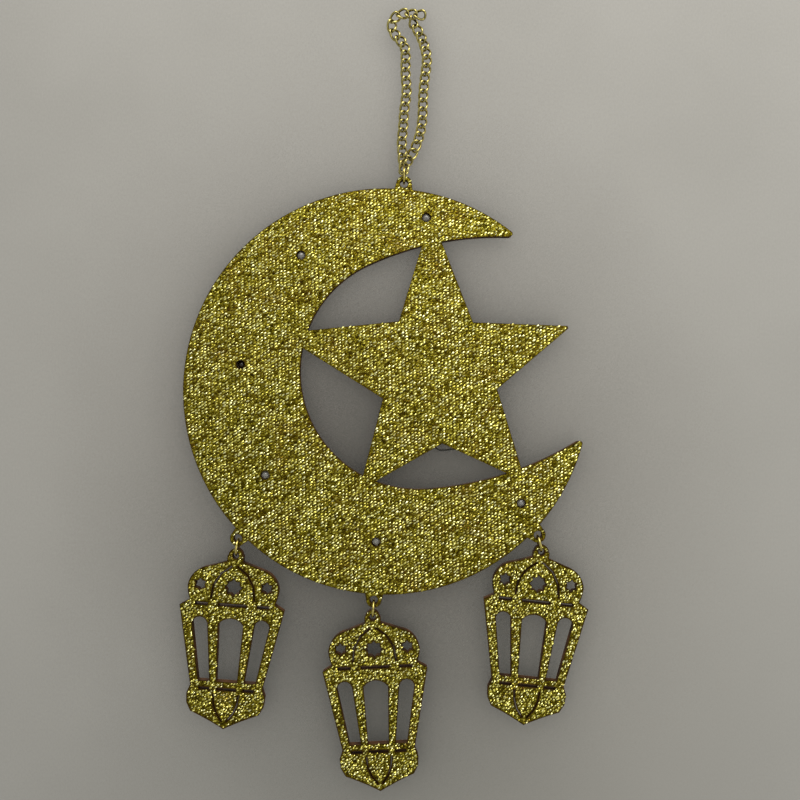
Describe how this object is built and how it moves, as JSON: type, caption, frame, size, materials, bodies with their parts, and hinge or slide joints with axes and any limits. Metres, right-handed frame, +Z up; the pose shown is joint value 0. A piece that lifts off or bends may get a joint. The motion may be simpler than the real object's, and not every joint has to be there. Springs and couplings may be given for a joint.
{
  "type": "hanging crescent and star ornament",
  "caption": "Gold glitter crescent with a star inside, hung by a curb chain, with pierced lanterns swinging from rings below and small battery lamps set in the crescent.",
  "frame": {"origin": "where a hook seats under the top of the chain loop, in the middle of the sheet's thickness", "axes": "+Z up, the glitter face looks along -Y, +X to the right as seen from the front"},
  "size_m": [0.1407, 0.0164, 0.2703],
  "materials": {
    "board": "bare brown hardboard with edges burnt dark by the laser",
    "glitter_facing": "gold glitter fabric with a diagonal grain",
    "chain_metal": "gold-plated, bright with dark hollows",
    "ring_metal": "gold-plated, bright",
    "lamp_resin": "clear resin",
    "light_chip": "yellow phosphor, unlit",
    "hot_glue": "cloudy hot-melt glue",
    "wire": "pale varnished wire",
    "foam": "white sticky foam",
    "box_plastic": "moulded off-white plastic",
    "cell_can": "nickel-plated steel",
    "contact_metal": "nickel-plated spring strip",
    "switch_plastic": "black moulded plastic"
  },
  "bodies": {
    "chain": {"chain_left_strand": "chain_metal", "chain_right_strand": "chain_metal"},
    "hang_ring": {"hang_ring": "ring_metal"},
    "panel": {"crescent_board": "board", "crescent_facing": "glitter_facing", "lamp_1": "lamp_resin", "lamp_2": "lamp_resin", "lamp_3": "lamp_resin", "lamp_4": "lamp_resin", "lamp_5": "lamp_resin", "lamp_6": "lamp_resin", "lamp_chips": "light_chip", "glue_dabs": "hot_glue", "lamp_wire": "wire", "foam_pad": "foam", "battery_case": "box_plastic", "coin_cell_front": "cell_can", "coin_cell_rear": "cell_can", "contact_spring": "contact_metal", "contact_strip": "contact_metal", "switch_body": "switch_plastic"},
    "battery_lid": {"battery_lid": "box_plastic"},
    "switch_knob": {"switch_knob": "switch_plastic"},
    "ring_left": {"lantern_left_ring": "ring_metal"},
    "lantern_left": {"lantern_left_board": "board", "lantern_left_facing": "glitter_facing"},
    "ring_middle": {"lantern_middle_ring": "ring_metal"},
    "lantern_middle": {"lantern_middle_board": "board", "lantern_middle_facing": "glitter_facing"},
    "ring_right": {"lantern_right_ring": "ring_metal"},
    "lantern_right": {"lantern_right_board": "board", "lantern_right_facing": "glitter_facing"}
  },
  "joints": [
    {"name": "hang_swing", "type": "hinge", "parent": "chain", "child": "hang_ring", "pos_m": [0.00095, 0, -0.05312], "axis": [1, 0, 0], "range_deg": [-20, 20]},
    {"name": "panel_turn", "type": "hinge", "parent": "hang_ring", "child": "panel", "pos_m": [0.00095, 0, -0.05626], "axis": [0, 1, 0], "range_deg": [-30, 30]},
    {"name": "ring_left_swing", "type": "hinge", "parent": "panel", "child": "ring_left", "pos_m": [-0.05638, 0, -0.17864], "axis": [0, 1, 0], "range_deg": [-8, 30]},
    {"name": "lantern_left_nod", "type": "hinge", "parent": "ring_left", "child": "lantern_left", "pos_m": [-0.05674, 0, -0.18176], "axis": [0.9936, 0, -0.1132], "range_deg": [-25, 25]},
    {"name": "ring_middle_swing", "type": "hinge", "parent": "panel", "child": "ring_middle", "pos_m": [-0.00947, 0, -0.19987], "axis": [0, 1, 0], "range_deg": [-12, 12]},
    {"name": "lantern_middle_nod", "type": "hinge", "parent": "ring_middle", "child": "lantern_middle", "pos_m": [-0.00972, 0, -0.203], "axis": [0.9969, 0, -0.0785], "range_deg": [-25, 25]},
    {"name": "ring_right_swing", "type": "hinge", "parent": "panel", "child": "ring_right", "pos_m": [0.04711, 0, -0.17747], "axis": [0, 1, 0], "range_deg": [-30, 5]},
    {"name": "lantern_right_nod", "type": "hinge", "parent": "ring_right", "child": "lantern_right", "pos_m": [0.04776, 0, -0.18054], "axis": [0.9781, 0, 0.2079], "range_deg": [-25, 25]},
    {"name": "lid_slide", "type": "slide", "parent": "panel", "child": "battery_lid", "axis": [1, 0, 0], "range_m": [0, 0.034]},
    {"name": "switch_slide", "type": "slide", "parent": "panel", "child": "switch_knob", "axis": [1, 0, 0], "range_m": [0, 0.002]}
  ]
}
